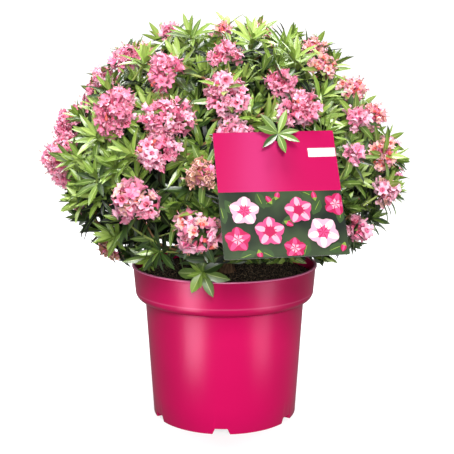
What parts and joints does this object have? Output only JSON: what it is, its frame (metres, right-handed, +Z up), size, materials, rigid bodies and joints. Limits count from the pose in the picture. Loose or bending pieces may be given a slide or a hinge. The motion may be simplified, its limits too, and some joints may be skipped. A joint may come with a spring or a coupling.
{
  "type": "potted azalea shrub",
  "caption": "Rounded azalea shrub in full bloom with pink trusses, in a round magenta nursery pot, with a text-free care card hung among its leaves.",
  "frame": {"origin": "centre of the flat underside of the pot", "axes": "+Z up along the pot's axis, -Y towards the front with the care card, +X to the right"},
  "size_m": [0.4329, 0.4834, 0.4938],
  "materials": {
    "pot": "magenta moulded plastic with a soft gloss",
    "soil": "dark crumbly peat",
    "bark": "thin brown bark",
    "foliage": "green leaves with pink blossom",
    "card": "printed care card"
  },
  "bodies": {
    "root": {"pot": "pot", "soil": "soil", "stem": "bark", "bough_low_1": "bark", "bough_low_2": "bark", "bough_low_3": "bark", "bough_low_4": "bark", "bough_low_5": "bark", "bough_low_6": "bark", "bough_low_7": "bark", "bough_high_1": "bark", "bough_high_2": "bark", "bough_high_3": "bark", "bough_high_4": "bark", "bough_high_5": "bark", "bough_top": "bark", "leaf_mass_low_1": "foliage", "leaf_mass_low_2": "foliage", "leaf_mass_low_3": "foliage", "leaf_mass_low_4": "foliage", "leaf_mass_low_5": "foliage", "leaf_mass_low_6": "foliage", "leaf_mass_low_7": "foliage", "leaf_mass_high_1": "foliage", "leaf_mass_high_2": "foliage", "leaf_mass_high_3": "foliage", "leaf_mass_high_4": "foliage", "leaf_mass_high_5": "foliage", "leaf_mass_top": "foliage", "care_card": "card"}
  },
  "joints": []
}
